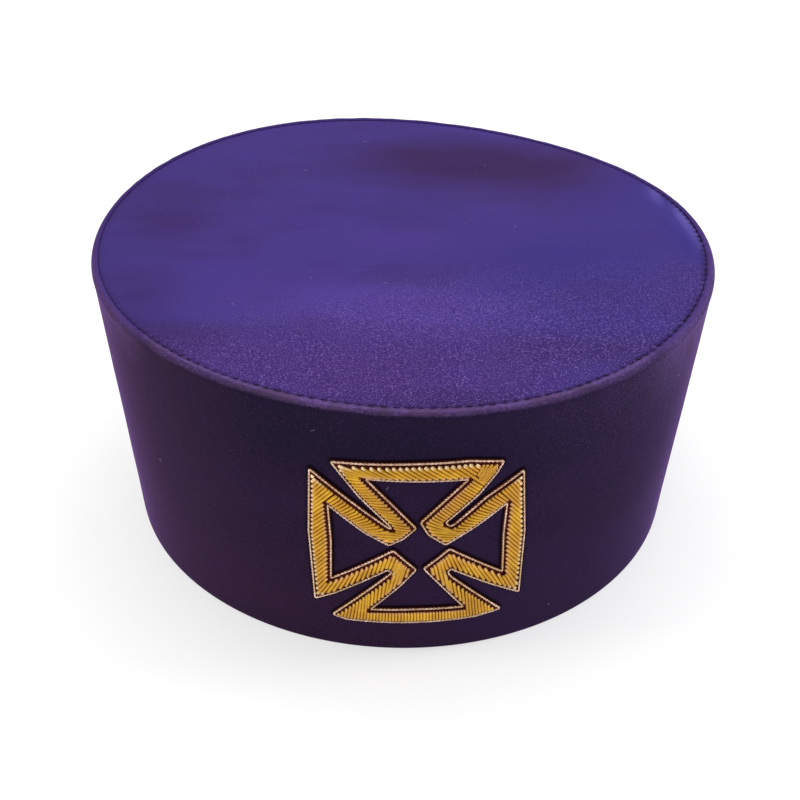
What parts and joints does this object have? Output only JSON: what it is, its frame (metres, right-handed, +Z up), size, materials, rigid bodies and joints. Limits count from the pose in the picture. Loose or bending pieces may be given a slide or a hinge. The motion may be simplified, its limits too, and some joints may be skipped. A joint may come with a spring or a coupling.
{
  "type": "masonic cap",
  "caption": "Round flat-topped ceremonial cap in purple velvet, with a flared stiff side and a raised gold cross with flared arms on the front.",
  "frame": {"origin": "centre of the bottom edge, on the surface that the cap rests on", "axes": "+Z up through the crown, -Y towards the front with the cross, +X to the right of the picture"},
  "size_m": [0.202, 0.2026, 0.0969],
  "materials": {
    "side_velvet": "very dark plum velvet with a soft purple sheen at grazing angles, plain woven back inside",
    "crown_velvet": "blue-violet velvet, brushed and slightly mottled",
    "gold_wire": "coiled gilt wire laid in slanting satin stitches over a pad",
    "gold_cord": "fine twisted cord in pale rose gold"
  },
  "bodies": {
    "root": {"side_band": "side_velvet", "crown_panel": "crown_velvet", "emblem_strip": "gold_wire", "emblem_outer_cord": "gold_cord", "emblem_inner_cord": "gold_cord"}
  },
  "joints": []
}
